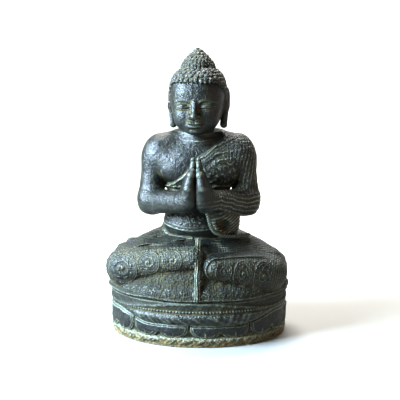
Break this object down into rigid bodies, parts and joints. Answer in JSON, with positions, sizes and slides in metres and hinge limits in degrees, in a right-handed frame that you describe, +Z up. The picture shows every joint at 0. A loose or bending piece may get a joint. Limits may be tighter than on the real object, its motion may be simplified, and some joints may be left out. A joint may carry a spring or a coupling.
{
  "type": "seated buddha statue",
  "caption": "Stone garden statue of a seated buddha, hands pressed together in prayer, legs crossed on a cushion over a lotus pedestal, in draped robe with a curled topknot.",
  "frame": {"origin": "middle of the underside, on the floor", "axes": "+Z up, the figure faces -Y, its own left hand is on the +X side"},
  "size_m": [0.2698, 0.1958, 0.42],
  "materials": {
    "figure_stone": "dark green-black cast volcanic stone, rubbed to a semi-gloss on the high places, ochre and dust in the carving",
    "seat_stone": "the same dark cast stone, duller, with ochre and moss tones towards the floor",
    "dowel_steel": "plain drawn rod, as cut"
  },
  "bodies": {
    "root": {"right_leg": "figure_stone", "left_leg": "figure_stone", "sash_end": "figure_stone", "torso": "figure_stone", "right_arm": "figure_stone", "left_arm": "figure_stone", "right_hand": "figure_stone", "left_hand": "figure_stone", "sleeve_fall": "figure_stone", "head": "figure_stone", "hair_cap": "figure_stone", "topknot": "figure_stone", "base_plate": "seat_stone", "lotus_tier": "seat_stone", "seat_cushion": "seat_stone", "robe_skirt": "seat_stone", "neck_dowel": "dowel_steel", "topknot_dowel": "dowel_steel", "right_shoulder_dowel": "dowel_steel", "left_shoulder_dowel": "dowel_steel", "right_wrist_dowel": "dowel_steel", "left_wrist_dowel": "dowel_steel", "right_waist_dowel": "dowel_steel", "left_waist_dowel": "dowel_steel", "right_seat_dowel": "dowel_steel", "left_seat_dowel": "dowel_steel"}
  },
  "joints": []
}
